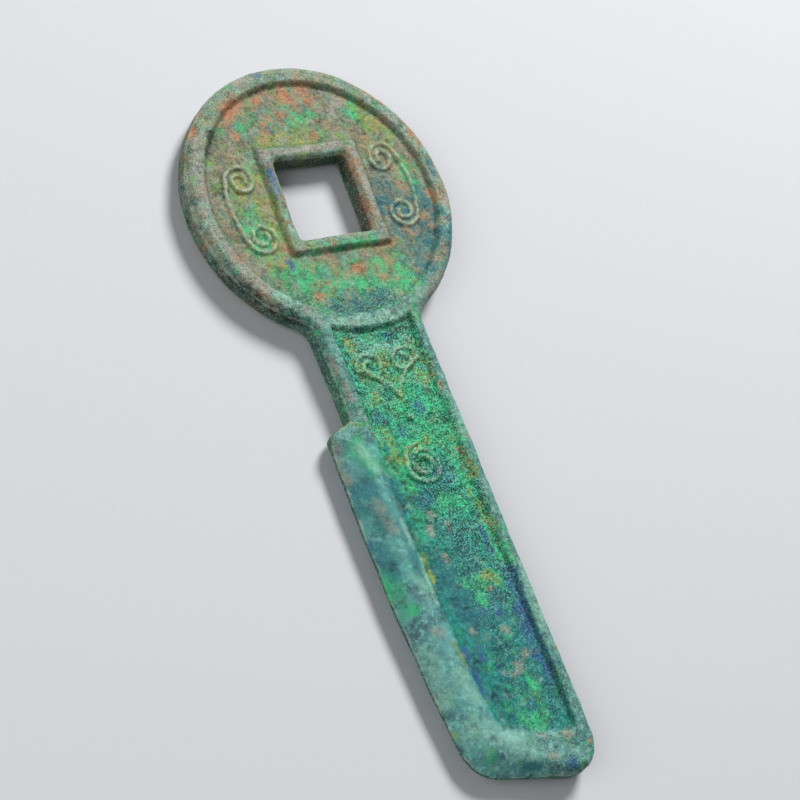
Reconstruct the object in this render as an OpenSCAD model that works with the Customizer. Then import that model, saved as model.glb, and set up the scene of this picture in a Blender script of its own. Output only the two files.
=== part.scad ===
// Knife-shaped bronze coin: a round head with a square hole, a neck and a knife blade.
// Flat recessed fields lie inside raised rims, alike on both faces, and the blade's left rim
// widens into a bevelled cutting edge. Millimetres. The head's axis is Z, the blade runs
// towards -Y, and the rims of the plain face rest on Z = 0.

/* [Head] */
// Diameter of the round head over its rim
head_d = 28.6; // [27:0.1:31]
// Width of the head's rim at its foot
head_rim_w = 2; // [1.4:0.05:2.6]
// Side of the square hole
hole_w = 8.5; // [6.5:0.1:10]
// Width of the rim round the hole at its foot
hole_rim_w = 1.5; // [1:0.05:2]
// Corner radius of the hole
hole_corner_r = 0.5; // [0.2:0.05:1]
// Turn of the hole in the head, counter-clockwise from the front, in degrees
hole_turn = -2.5; // [-10:0.5:10]

/* [Neck] */
// Distance of the spine from the head's axis, at the head
spine_x = 5.35; // [4.8:0.05:6.2]
// Width of the neck
neck_w = 11.95; // [10:0.05:12.8]
// Length of the neck, from the head's lowest point to the shoulder
neck_len = 7.8; // [5:0.1:12]
// Width of the neck's left rim at its foot
neck_rim_w = 1.7; // [1.2:0.05:2.2]
// Radius of the hollow corners where the neck meets the head
neck_fillet_r = 2; // [1:0.1:3]

/* [Blade] */
// Length from the head's lowest point to the tail's lowest point
body_len = 45.6; // [38:0.1:52]
// Width of the blade at the shoulder
blade_w = 14.55; // [14:0.05:16]
// Width of the blade where the tail begins to turn
blade_tail_w = 13.6; // [12.8:0.05:15]
// How far the cutting edge bows out between the shoulder and the tail
edge_bow = 0.55; // [0:0.05:1]
// How far the spine leans towards the axis by the tail
spine_lean = 0.45; // [0:0.05:1]
// Radius of the hollow corner between neck and shoulder
shoulder_hollow_r = 0.5; // [0.3:0.05:1]
// Radius of the shoulder's round corner
shoulder_round_r = 1.2; // [0.8:0.1:1.6]
// Fall of the shoulder towards the cutting edge, in degrees
shoulder_fall = 20; // [5:1:35]
// Slope of the tail, in degrees
tail_slope = 17; // [5:1:25]
// Radius of the tail's corner under the cutting edge
tail_edge_r = 4; // [2.5:0.1:5]
// Radius of the tail's corner under the spine
tail_spine_r = 3.2; // [2:0.1:4.5]

/* [Blade rims] */
// Width of the cutting edge's rim at its foot, at the tail
edge_rim_w = 4.15; // [3:0.05:5.5]
// Width of the rim across the tail, at its foot
end_rim_w = 4.3; // [3:0.1:5]
// Width of the spine's rim at its foot, at the head
spine_rim_w = 1.5; // [1.2:0.05:1.9]
// Width of the spine's rim at its foot, at the tail
spine_rim_tail_w = 1.8; // [1.2:0.05:2.2]
// Radius of the field's corner by the cutting edge
field_edge_r = 2.6; // [0.8:0.1:3.5]
// Radius of the field's corner by the spine
field_spine_r = 0.5; // [0.2:0.1:1]

/* [Section] */
// Thickness over the rims
rim_t = 2.9; // [2.6:0.1:3.6]
// Thickness of the recessed fields
field_t = 1.9; // [1.4:0.05:2.2]
// Thickness along the cutting edge
edge_t = 0.45; // [0.3:0.05:1.2]
// Width of the slope from a rim's top down to the field
rim_draft = 0.36; // [0.2:0.02:0.5]
// Width and drop of the rounding on a rim's outer edge
rim_round = 0.65; // [0.3:0.05:0.75]
// Width and drop of the rounding on the hole's edge
hole_round = 0.4; // [0.2:0.05:0.6]
// Share of the cutting edge's rim that stays flat before the bevel
bevel_start = 0.5; // [0.35:0.05:0.65]

/* [Hidden] */
$fn = 96;

// Colours of the corroded bronze, zone by zone.
pale_verdigris = [0.53, 0.64, 0.55];
mottled_green = [0.36, 0.52, 0.40];
bright_malachite = [0.20, 0.56, 0.40];
turquoise_crust = [0.36, 0.62, 0.55];

// Steps along each kind of curve.
slope_steps = 4;
fall_steps = 5;
corner_steps = 6;
hole_corner_steps = 3;
edge_steps = 14;
line_steps = 4;

head_r = head_d / 2;
foot_r = head_r - head_rim_w;
hole_half = hole_w / 2;
hole_foot_half = hole_half + hole_rim_w;
mid_z = rim_t / 2;
field_z = (rim_t - field_t) / 2;
tail_y = -head_r - body_len;
neck_x = spine_x - neck_w;
shoulder_y = -head_r - neck_len;

// Plain vector helpers in the plan.
function polar(centre, r, a) = centre + r * [cos(a), sin(a)];
function arc(centre, r, a0, a1, steps) =
    [for (i = [0:steps]) polar(centre, r, a0 + (a1 - a0) * i / steps)];
function line(a, b, steps) = [for (i = [0:steps]) a + (b - a) * i / steps];
function tail_of(list, from) = [for (i = [from:len(list) - 1]) list[i]];
function along(a, b) = (b - a) / norm(b - a);

// A line from a to b that bows out to its right by the given amount at mid-length.
function bowed(a, b, bow, steps) =
    let (d = along(a, b), n = [d[1], -d[0]])
    [for (i = [0:steps]) let (t = i / steps) a + (b - a) * t + n * bow * 4 * t * (1 - t)];

// Where the horizontal line at y meets the line from a to b.
function x_at(a, b, y) = a[0] + (b[0] - a[0]) * (y - a[1]) / (b[1] - a[1]);

// Spine: a straight line that leans a little towards the axis.
spine_top = [spine_x, 0];
spine_tail = [spine_x - spine_lean, tail_y];
function spine_at(y) = [x_at(spine_top, spine_tail, y), y];

// Hollow corner between the head and a vertical side of the neck: centre of its arc.
// side is 1 on the spine and -1 on the neck's left.
function fillet_centre(x, side) =
    let (cx = x + side * neck_fillet_r, reach = head_r + neck_fillet_r)
    [cx, -sqrt(reach * reach - cx * cx)];

// The arc stops short of the head, and the last point lies inside the head's rim.
fillet_share = 0.85;
bury = 0.6;
function fillet_points(x, side) =
    let (c = fillet_centre(x, side),
         from = side > 0 ? 180 : 0,
         to = atan2(-c[1], -c[0]),
         turn = (side > 0 ? to - 180 : to) * fillet_share,
         pts = arc(c, neck_fillet_r, from, from + turn, corner_steps),
         last = pts[corner_steps])
    concat(pts, [last * (head_r - bury) / norm(last)]);

// Tail: two round corners joined by a sloping line.
spine_corner_c = [spine_at(tail_y + tail_spine_r)[0] - tail_spine_r, tail_y + tail_spine_r];
tail_normal = 270 - tail_slope;
tail_line_end = polar(spine_corner_c, tail_spine_r, tail_normal);
edge_tail_x = spine_tail[0] - blade_tail_w;
edge_corner_x = edge_tail_x + tail_edge_r;
edge_corner_c = [edge_corner_x,
    spine_corner_c[1] - (edge_corner_x - spine_corner_c[0]) * tan(tail_slope)
    + (tail_edge_r - tail_spine_r) / cos(tail_slope)];

// Shoulder: a hollow corner, a falling line and a round corner.
hollow_c = [neck_x - shoulder_hollow_r, shoulder_y];
hollow_pts = arc(hollow_c, shoulder_hollow_r, 0, shoulder_fall - 90, corner_steps);
edge_top_x = spine_at(shoulder_y)[0] - blade_w;
hollow_end = hollow_pts[corner_steps];
round_start_x = edge_top_x + shoulder_round_r * (1 - sin(shoulder_fall));
round_start_y = hollow_end[1] - (hollow_end[0] - round_start_x) * tan(shoulder_fall);
round_c = [edge_top_x + shoulder_round_r,
    round_start_y - shoulder_round_r * cos(shoulder_fall)];
round_pts = arc(round_c, shoulder_round_r, 90 + shoulder_fall, 180, corner_steps);

// Cutting edge: a bowed line from the shoulder's corner to the tail's corner.
edge_start = [edge_top_x, round_c[1]];
edge_chord = along(edge_start, edge_corner_c - [tail_edge_r, 0]);
edge_turn = atan2(edge_chord[0], -edge_chord[1])
    + atan(4 * edge_bow / (edge_start[1] - edge_corner_c[1]));
edge_end = polar(edge_corner_c, tail_edge_r, 180 + edge_turn);

// Foot of the rims, which is the outline of the blade's recessed field.
field_base = polar(tail_line_end, -end_rim_w, tail_normal);
function field_base_y(x) = field_base[1] - (x - field_base[0]) * tan(tail_slope);
field_right_top = [spine_x - spine_rim_w, 0];
field_right_tail = [spine_tail[0] - spine_rim_tail_w, tail_y];
field_left_x = neck_x + neck_rim_w;
field_left_tail_x = edge_tail_x + edge_rim_w;
field_edge_c = [field_left_tail_x + field_edge_r,
    field_base_y(field_left_tail_x + field_edge_r) + field_edge_r / cos(tail_slope)];
field_spine_x = x_at(field_right_top, field_right_tail, field_base[1]) - field_spine_r;
field_spine_c = [field_spine_x, field_base_y(field_spine_x) + field_spine_r / cos(tail_slope)];
field_left_end = field_edge_c - [field_edge_r, 0];

// Angles at which the tail's two corners are shared out between neighbouring rims.
edge_mitre = (180 + edge_turn + tail_normal) / 2;
field_edge_mitre = (180 + tail_normal) / 2;
spine_mitre = (tail_normal + 360) / 2;

// Neck's left rim: foot and edge points, from inside the head down to the shoulder.
neck_fillet = fillet_points(neck_x, -1);
neck_edges = concat([for (i = [len(neck_fillet) - 1:-1:0]) neck_fillet[i]],
    tail_of(line([neck_x, neck_fillet[0][1]], [neck_x, shoulder_y], line_steps), 1));
neck_feet = [for (p = neck_edges) [field_left_x, p[1]]];

// Cutting edge: the foot line runs beside the shoulder, the edge and half of the corner.
shoulder_edges = concat(hollow_pts, round_pts);
fan_y = edge_start[1] - shoulder_round_r;
fan_steps = len(shoulder_edges) - 1;
left_foot = bowed([field_left_x, fan_y], field_left_end, edge_bow, edge_steps);
edge_edges = concat(shoulder_edges,
    tail_of(bowed(edge_start, edge_end, edge_bow, edge_steps), 1),
    tail_of(arc(edge_corner_c, tail_edge_r, 180 + edge_turn, edge_mitre, corner_steps), 1));
edge_feet = concat(line([field_left_x, shoulder_y], [field_left_x, fan_y], fan_steps),
    tail_of(left_foot, 1),
    tail_of(arc(field_edge_c, field_edge_r, 180, field_edge_mitre, corner_steps), 1));

// Rim across the tail, from one corner's middle to the other's.
end_edges = concat(arc(edge_corner_c, tail_edge_r, edge_mitre, tail_normal, corner_steps),
    tail_of(line(polar(edge_corner_c, tail_edge_r, tail_normal), tail_line_end, line_steps), 1),
    tail_of(arc(spine_corner_c, tail_spine_r, tail_normal, spine_mitre, corner_steps), 1));
end_feet = concat(arc(field_edge_c, field_edge_r, field_edge_mitre, tail_normal, corner_steps),
    tail_of(line(polar(field_edge_c, field_edge_r, tail_normal),
                 polar(field_spine_c, field_spine_r, tail_normal), line_steps), 1),
    tail_of(arc(field_spine_c, field_spine_r, tail_normal, spine_mitre, corner_steps), 1));

// Spine's rim, from the tail's corner up into the head.
spine_fillet = fillet_points(spine_at(-head_r)[0], 1);
spine_edges = concat(arc(spine_corner_c, tail_spine_r, spine_mitre, 360, corner_steps),
    tail_of(line(spine_at(spine_corner_c[1]), spine_fillet[0], edge_steps), 1),
    tail_of(spine_fillet, 1));
spine_foot_corner = arc(field_spine_c, field_spine_r, spine_mitre, 360, corner_steps);
spine_feet = concat(spine_foot_corner,
    [for (p = tail_of(spine_edges, corner_steps + 1))
        [x_at(field_right_top, field_right_tail, p[1]), p[1]]]);

// Half height of a rim at its outer edge, between a full rim, whose edge is rounded by fall,
// and a sharp one.
top_h = rim_t / 2;
function edge_h(sharp, fall) = (top_h - fall) * (1 - sharp) + edge_t / 2 * sharp;

// Cross-section of a rim of width w, from its foot at u = 0 to its outer edge at u = w,
// around z = 0. crest is where the flat top ends and the outer edge begins to fall.
function rim_section(w, crest, end_h) =
    let (foot_h = field_t / 2,
         upper = concat(
            [for (i = [0:slope_steps]) let (t = i / slope_steps)
                [rim_draft * t, foot_h + (top_h - foot_h) * sin(90 * t)]],
            [for (i = [0:fall_steps]) let (s = i / fall_steps)
                [crest + (w - crest) * s, end_h + (top_h - end_h) * (1 - s * s)]]))
    concat(upper, [for (i = [len(upper) - 1:-1:0]) [upper[i][0], -upper[i][1]]]);

// Crest of a rim that is part full rim and part bevel.
function crest_at(w, sharp, fall) = (w - fall) * (1 - sharp) + w * bevel_start * sharp;

// Joins cross-sections, each drawn from a foot point to an edge point, into one solid.
module rim_loft(feet, edges, sharp, fall = rim_round, closed = false) {
    n = len(feet);
    rings = [for (i = [0:n - 1])
        let (w = norm(edges[i] - feet[i]), d = along(feet[i], edges[i]))
        [for (q = rim_section(w, crest_at(w, sharp[i], fall), edge_h(sharp[i], fall)))
            [feet[i][0] + d[0] * q[0], feet[i][1] + d[1] * q[0], mid_z + q[1]]]];
    m = len(rings[0]);
    points = [for (r = rings) each r];
    sides = [for (i = [0:(closed ? n - 1 : n - 2)], j = [0:m - 1])
        let (k = (i + 1) % n, l = (j + 1) % m)
        each [[i * m + j, i * m + l, k * m + l], [i * m + j, k * m + l, k * m + j]]];
    caps = closed ? [] : [[for (j = [m - 1:-1:0]) j], [for (j = [0:m - 1]) (n - 1) * m + j]];
    polyhedron(points, concat(sides, caps), convexity = 6);
}

function constant(list, value) = [for (p = list) value];

head_rim_section = rim_section(head_rim_w, head_rim_w - rim_round, top_h - rim_round);

// Everything inside the head's outer surface, to trim what runs up to it.
module head_envelope() {
    clear = 1;
    rotate_extrude() {
        translate([0, -clear])
            square([head_r - rim_round, rim_t + 2 * clear]);
        translate([foot_r, mid_z])
            polygon(head_rim_section);
    }
}

module outer_rim() {
    color(pale_verdigris)
        rotate_extrude()
            translate([foot_r, mid_z])
                polygon(head_rim_section);
}

// Round-cornered square, counter-clockwise, turned as the hole is in the head.
function hole_path(half) =
    [for (k = [0:3])
        let (a = hole_turn + 90 * k, c = polar([0, 0], (half - hole_corner_r) * sqrt(2), a + 45))
        each arc(c, hole_corner_r, a, a + 90, hole_corner_steps)];

module head_field() {
    color(mottled_green)
        translate([0, 0, field_z])
            difference() {
                cylinder(r = foot_r, h = field_t);
                translate([0, 0, -1])
                    linear_extrude(field_t + 2)
                        polygon(hole_path(hole_foot_half));
            }
}

module hole_rim() {
    feet = hole_path(hole_foot_half);
    color(pale_verdigris)
        rim_loft(feet, hole_path(hole_half), constant(feet, 0), hole_round, closed = true);
}

module blade_field() {
    outline = concat(neck_feet, tail_of(edge_feet, 1), tail_of(end_feet, 1), tail_of(spine_feet, 1));
    color(bright_malachite)
        translate([0, 0, field_z])
            linear_extrude(field_t)
                difference() {
                    polygon(outline);
                    circle(r = head_r);
                }
}

module neck_rim() {
    color(pale_verdigris)
        difference() {
            rim_loft(neck_feet, neck_edges, constant(neck_feet, 0));
            head_envelope();
        }
}

// The bevel comes in along the shoulder and is whole from there to the tail's corner.
module cutting_edge() {
    sharp = [for (i = [0:len(edge_feet) - 1]) min(1, i / fan_steps)];
    color(turquoise_crust)
        rim_loft(edge_feet, edge_edges, sharp);
}

// The bevel dies out across the tail.
module end_rim() {
    last = len(end_feet) - 1;
    sharp = [for (i = [0:last]) 1 - i / last];
    color(turquoise_crust)
        rim_loft(end_feet, end_edges, sharp);
}

module spine_rim() {
    color(pale_verdigris)
        difference() {
            rim_loft(spine_feet, spine_edges, constant(spine_feet, 0));
            head_envelope();
        }
}

outer_rim();
head_field();
hole_rim();
blade_field();
neck_rim();
cutting_edge();
end_rim();
spine_rim();
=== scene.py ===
import math

import bpy
import numpy as np
from mathutils import Matrix, Vector
from mathutils.geometry import delaunay_2d_cdt
from mathutils.kdtree import KDTree


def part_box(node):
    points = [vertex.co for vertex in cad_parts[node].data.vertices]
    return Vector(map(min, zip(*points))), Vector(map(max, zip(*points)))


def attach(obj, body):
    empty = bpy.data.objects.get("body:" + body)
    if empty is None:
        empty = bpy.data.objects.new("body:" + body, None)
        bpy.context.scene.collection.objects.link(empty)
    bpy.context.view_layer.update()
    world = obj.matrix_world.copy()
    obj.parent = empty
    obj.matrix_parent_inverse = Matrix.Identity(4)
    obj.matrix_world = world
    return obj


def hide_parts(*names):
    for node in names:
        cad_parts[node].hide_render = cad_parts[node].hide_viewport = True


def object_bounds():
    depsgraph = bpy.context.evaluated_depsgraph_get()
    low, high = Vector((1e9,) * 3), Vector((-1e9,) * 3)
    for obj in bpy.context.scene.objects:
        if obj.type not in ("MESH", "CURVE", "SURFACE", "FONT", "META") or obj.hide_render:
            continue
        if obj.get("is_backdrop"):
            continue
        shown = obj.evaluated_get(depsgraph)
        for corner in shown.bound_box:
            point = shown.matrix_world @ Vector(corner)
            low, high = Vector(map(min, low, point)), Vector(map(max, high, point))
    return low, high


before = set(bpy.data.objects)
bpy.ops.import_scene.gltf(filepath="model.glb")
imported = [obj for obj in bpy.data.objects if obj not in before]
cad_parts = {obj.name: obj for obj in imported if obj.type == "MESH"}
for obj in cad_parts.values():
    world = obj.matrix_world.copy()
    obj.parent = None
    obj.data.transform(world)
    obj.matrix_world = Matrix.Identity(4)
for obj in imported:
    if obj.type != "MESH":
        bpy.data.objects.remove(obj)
cad_low, cad_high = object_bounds()

# Head's lines. The coin is one bronze casting, and its relief follows lines that were scored in a clay
# mould: its outline, and the foot lines where raised rims meet sunken fields. The head's is a circle.
# Points are complex numbers, x + iy, in millimetres.
MM = 0.001
skin_step = 0.1
head_r = 14.3
head_foot_r = 12.3


def polar(centre, radius, angle):
    """The point of a circle at an angle in degrees."""
    return centre + radius * np.exp(1j * np.radians(angle))


def arc(centre, radius, first, last):
    """Points on a circle between two angles in degrees."""
    count = max(2, round(abs(math.radians(last - first)) * radius / skin_step))
    return polar(centre, radius, np.linspace(first, last, count + 1))


head_foot = arc(0, head_foot_r, 0, 360)[:-1]

# Hole's lines. The square hole for the string was a peg of clay, with a rounded raised frame round it.
# It sits a little turned in the head.
hole_half = 4.25
hole_foot_half = 5.75
hole_corner_r = 0.5
hole_turn = -2.5


def bowed(start, end, bow=0.0):
    """Points from start to end, bowed out to the right of travel by bow at mid-length."""
    t = np.linspace(0, 1, max(1, round(abs(end - start) / skin_step)) + 1)
    right = -1j * (end - start) / abs(end - start)
    return start + (end - start) * t + right * bow * 4 * t * (1 - t)


def joined(*runs):
    """One run of points from several that follow on from each other."""
    return np.concatenate([runs[0]] + [run[1:] for run in runs[1:]])


def round_square(half):
    """The hole's round-cornered square, counter-clockwise and closed."""
    reach = (half - hole_corner_r) * math.sqrt(2)
    turns = [hole_turn + 90 * quarter for quarter in range(4)]
    corners = [arc(polar(0, reach, turn + 45), hole_corner_r, turn, turn + 90) for turn in turns]
    sides = [bowed(corners[k][-1], corners[(k + 1) % 4][0]) for k in range(4)]
    return joined(*[run for pair in zip(corners, sides) for run in pair])[:-1]


hole_edge = round_square(hole_half)
hole_foot = round_square(hole_foot_half)

# Neck's and spine's lines. The neck leaves the head in two hollow fillets, and its right side runs on
# as the blade's straight spine, which leans in a little towards the tail.
spine_x = 5.35
spine_lean = 0.45
neck_x = -6.6
neck_fillet_r = 2.0
field_left_x = -4.9
shoulder_y = -22.1
tail_y = -59.9


def spine_at(y):
    """The spine's point at a height y."""
    return complex(spine_x - spine_lean * y / tail_y, y)


def fillet(x, side):
    """Hollow corner between the head and the neck, from the neck's side to the head."""
    centre_x = x + side * neck_fillet_r
    centre = complex(centre_x, -math.sqrt((head_r + neck_fillet_r) ** 2 - centre_x ** 2))
    start = 180 if side > 0 else 0
    return arc(centre, neck_fillet_r, start, math.degrees(math.atan2(-centre.imag, -centre.real)))


def angle_of(point):
    """Angle of a point seen from the head's axis, from 0 to 360 degrees."""
    return math.degrees(math.atan2(point.imag, point.real)) % 360


neck_fillet = fillet(neck_x, -1)
spine_fillet = fillet(spine_at(-head_r).real, 1)
neck_edge = joined(neck_fillet[::-1], bowed(neck_fillet[0], complex(neck_x, shoulder_y)))
head_edge = arc(0, head_r, angle_of(spine_fillet[-1]), angle_of(neck_fillet[-1]) + 360)

# Blade's lines. Below the neck a sloping shoulder steps out to the cutting edge, which bows slightly,
# and the tail is cut off aslant with two rounded corners.
shoulder_hollow_r = 0.5
shoulder_round_r = 1.2
shoulder_fall = 20.0
blade_w = 14.55
blade_tail_w = 13.6
edge_bow = 0.55
tail_slope = 17.0
tail_edge_r = 4.0
tail_spine_r = 3.2

fall_share = math.tan(math.radians(shoulder_fall))
hollow_centre = complex(neck_x - shoulder_hollow_r, shoulder_y)
hollow = arc(hollow_centre, shoulder_hollow_r, 0, shoulder_fall - 90)
edge_top_x = spine_at(shoulder_y).real - blade_w
round_x = edge_top_x + shoulder_round_r * (1 - math.sin(math.radians(shoulder_fall)))
round_y = hollow[-1].imag - (hollow[-1].real - round_x) * fall_share
edge_start = complex(edge_top_x, round_y - shoulder_round_r * math.cos(math.radians(shoulder_fall)))
shoulder_round = arc(edge_start + shoulder_round_r, shoulder_round_r, 90 + shoulder_fall, 180)

slope_share = math.tan(math.radians(tail_slope))
slope_length = 1 / math.cos(math.radians(tail_slope))
tail_normal = 270 - tail_slope
spine_corner = spine_at(tail_y + tail_spine_r) - tail_spine_r
tail_line_end = polar(spine_corner, tail_spine_r, tail_normal)
edge_tail_x = spine_at(tail_y).real - blade_tail_w
edge_corner_y = (spine_corner.imag + (spine_corner.real - edge_tail_x - tail_edge_r) * slope_share
                 + (tail_edge_r - tail_spine_r) * slope_length)
edge_corner = complex(edge_tail_x + tail_edge_r, edge_corner_y)
edge_chord = edge_corner - tail_edge_r - edge_start
edge_turn = math.degrees(math.atan2(edge_chord.real, -edge_chord.imag)
                         + math.atan(4 * edge_bow / (edge_start.imag - edge_corner_y)))
edge_mitre = (180 + edge_turn + tail_normal) / 2
spine_mitre = (tail_normal + 360) / 2
cutting_edge_line = joined(
    hollow, bowed(hollow[-1], shoulder_round[0]), shoulder_round,
    bowed(edge_start, polar(edge_corner, tail_edge_r, 180 + edge_turn), edge_bow),
    arc(edge_corner, tail_edge_r, 180 + edge_turn, edge_mitre))
tail_edge = joined(
    arc(edge_corner, tail_edge_r, edge_mitre, tail_normal),
    bowed(polar(edge_corner, tail_edge_r, tail_normal), tail_line_end),
    arc(spine_corner, tail_spine_r, tail_normal, spine_mitre))
spine_edge = joined(
    arc(spine_corner, tail_spine_r, spine_mitre, 360),
    bowed(spine_corner + tail_spine_r, spine_fillet[0]), spine_fillet)
outline = joined(head_edge, neck_edge, cutting_edge_line, tail_edge, spine_edge)[:-1]

# Blade field's foot lines. The sunken strip begins at the head's circle, runs beside the neck's rim, the
# broad cutting edge and the spine's rim, and ends above the tail in one wide and one tight corner.
edge_rim_w = 4.15
end_rim_w = 4.3
spine_rim_w = 1.5
spine_rim_tail_w = 1.8
field_edge_r = 2.6
field_spine_r = 0.5
field_base = polar(tail_line_end, -end_rim_w, tail_normal)


def field_right_at(y):
    """The spine rim's foot at a height y."""
    top, tail = spine_x - spine_rim_w, spine_at(tail_y).real - spine_rim_tail_w
    return complex(top + (tail - top) * y / tail_y, y)


def foot_corner(x, radius):
    """Centre of a corner of the field that touches its slanting base."""
    return complex(x, field_base.imag - (x - field_base.real) * slope_share + radius * slope_length)


field_edge_corner = foot_corner(edge_tail_x + edge_rim_w + field_edge_r, field_edge_r)
field_spine_corner = foot_corner(field_right_at(field_base.imag).real - field_spine_r, field_spine_r)
field_edge_mitre = (180 + tail_normal) / 2
fan_point = complex(field_left_x, edge_start.imag - shoulder_round_r)
shoulder_foot = complex(field_left_x, shoulder_y)
neck_foot_top = complex(field_left_x, -math.sqrt(head_r ** 2 - field_left_x ** 2))
spine_foot_top = field_right_at(-head_r)
for _ in range(4):
    spine_foot_top = field_right_at(-math.sqrt(head_r ** 2 - spine_foot_top.real ** 2))
neck_foot = bowed(neck_foot_top, shoulder_foot)
edge_foot = joined(
    bowed(shoulder_foot, fan_point), bowed(fan_point, field_edge_corner - field_edge_r, edge_bow),
    arc(field_edge_corner, field_edge_r, 180, field_edge_mitre))
tail_foot = joined(
    arc(field_edge_corner, field_edge_r, field_edge_mitre, tail_normal),
    bowed(polar(field_edge_corner, field_edge_r, tail_normal),
          polar(field_spine_corner, field_spine_r, tail_normal)),
    arc(field_spine_corner, field_spine_r, tail_normal, spine_mitre))
spine_foot = joined(
    arc(field_spine_corner, field_spine_r, spine_mitre, 360),
    bowed(field_spine_corner + field_spine_r, spine_foot_top))
neck_joint = arc(0, head_r, angle_of(neck_edge[0]), angle_of(neck_foot_top))
field_joint = arc(0, head_r, angle_of(neck_foot_top), angle_of(spine_foot_top))
spine_joint = arc(0, head_r, angle_of(spine_foot_top), angle_of(spine_edge[-1]))
blade_foot = joined(field_joint[::-1], neck_foot, edge_foot, tail_foot, spine_foot)[:-1]
shoulder_seam = bowed(neck_edge[-1], neck_foot[-1])
edge_seam = bowed(cutting_edge_line[-1], edge_foot[-1])
spine_seam = bowed(tail_edge[-1], tail_foot[-1])

# Scrolls. Raised lines of a plain cloud-scroll pattern, pressed in the clay with a stylus, fill the
# four places on the front that the mould-maker kept for a device. The reverse has none.
scroll_pitch = 0.75
cloud_r = 10.4
cloud_half_angle = 20.0
cloud_curl_r = 1.65
cloud_turns = 1.5
horn_centre = complex(-0.6, -17.9)
horn_reach = 1.9
horn_curl_r = 1.5
horn_turns = 1.25
horn_stem_bow = 0.5
dot_centre = complex(-0.6, -23.6)
dot_r = 0.3
dot_turns = 0.3
coil_centre = complex(-0.9, -28.2)
coil_r = 2.1
coil_turns = 2.0


def spiral(centre, outer, start, turns):
    """A coil that winds inwards from its outer radius, counter-clockwise for positive turns."""
    t = np.linspace(0, 1, max(8, round(abs(turns) * 2 * math.pi * outer / skin_step)))
    radius = outer - scroll_pitch * abs(turns) * t
    return centre + radius * np.exp(1j * (math.radians(start) + 2 * math.pi * turns * t))


def cloud_scroll(side):
    """An arc beside the hole with both ends curled inwards: side is 0 on the right, 180 on the left."""
    runs = [arc(0, cloud_r, side - cloud_half_angle, side + cloud_half_angle)]
    for way in (1, -1):
        end = side + way * cloud_half_angle
        runs.append(spiral(polar(0, cloud_r - cloud_curl_r, end), cloud_curl_r, end, way * cloud_turns))
    return runs


scroll_lines = [*cloud_scroll(0), *cloud_scroll(180)]
for way in (1, -1):
    horn = spiral(horn_centre + way * horn_reach, horn_curl_r, 90 - way * 90, way * horn_turns)
    horn_point = horn_centre - 1j * (horn_reach + horn_curl_r)
    scroll_lines += [horn, bowed(horn[0], horn_point, way * horn_stem_bow)]
scroll_lines += [spiral(dot_centre, dot_r, 0, dot_turns), spiral(coil_centre, coil_r, 90, coil_turns)]


def scored_lines(name, runs, closed):
    """Lines as a mesh of edges only, for the relief to measure its distances from."""
    points, edges = [], []
    for run in runs:
        first = len(points)
        points += [(p.real * MM, p.imag * MM, 0) for p in run]
        edges += [(first + k, first + k + 1) for k in range(len(run) - 1)]
        if closed:
            edges.append((first + len(run) - 1, first))
    mesh = bpy.data.meshes.new(name)
    mesh.from_pydata(points, edges, [])
    lines = bpy.data.objects.new(name, mesh)
    bpy.context.collection.objects.link(lines)
    return lines


mould_outline = scored_lines("mould_outline", [outline, hole_edge], True)
mould_feet = scored_lines("mould_feet", [head_foot, hole_foot, blade_foot], True)
mould_scrolls = scored_lines("mould_scrolls", scroll_lines, False)

# Patina. Cast bronze after long burial, matt and mineral rather than metallic: grey-green and warm on
# the head, emerald and sandy on the blade, teal towards the tail and smooth and pale on the broad edge,
# with soft spots of red oxide, yellow earth, blue azurite and pale carbonate.


def linear(hex_colour):
    """A hex sRGB colour as linear RGBA."""
    parts = [int(hex_colour[k:k + 2], 16) / 255 for k in (1, 3, 5)]
    return [c / 12.92 if c <= 0.04045 else ((c + 0.055) / 1.055) ** 2.4 for c in parts] + [1.0]


def add(tree, kind, sockets=None, **settings):
    """Adds a node with its settings. Sockets are set, or linked where a node or an output is given."""
    node = tree.nodes.new(kind)
    for name, value in settings.items():
        setattr(node, name, value)
    for key, value in (sockets or {}).items():
        socket = node.inputs[key] if isinstance(key, int) else next(
            s for s in node.inputs if key in (s.identifier, s.name))
        if isinstance(value, bpy.types.Node):
            value = next(s for s in value.outputs if s.enabled)
        if isinstance(value, bpy.types.NodeSocket):
            tree.links.new(value, socket)
        elif isinstance(value, str) and socket.type == "RGBA":
            socket.default_value = linear(value)
        else:
            socket.default_value = value
    return node


bronze = bpy.data.materials.new("patinated_cast_bronze")
bronze.use_nodes = True
skin = bronze.node_tree
skin.nodes.clear()
place = add(skin, "ShaderNodeTexCoord").outputs["Object"]

# Grain sizes in millimetres, from the clouds of the burial stains down to single grains of sand.
grains = {}
for number, (name, size, detail) in enumerate((
        ("clouds", 7.0, 3), ("mottle", 2.0, 6), ("blot", 0.9, 4), ("speckle", 0.5, 4),
        ("sand", 0.13, 2), ("stain", 1.5, 5))):
    grains[name] = add(
        skin, "ShaderNodeTexNoise",
        {"Vector": place, "W": number, "Scale": 1 / (size * MM), "Detail": detail, "Roughness": 0.6},
        noise_dimensions="4D").outputs["Fac"]
marks = {name: add(skin, "ShaderNodeAttribute", attribute_name=name).outputs["Fac"]
         for name in ("foot_gap", "edge_gap", "bevel", "scroll", "crust", "side")}

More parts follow.
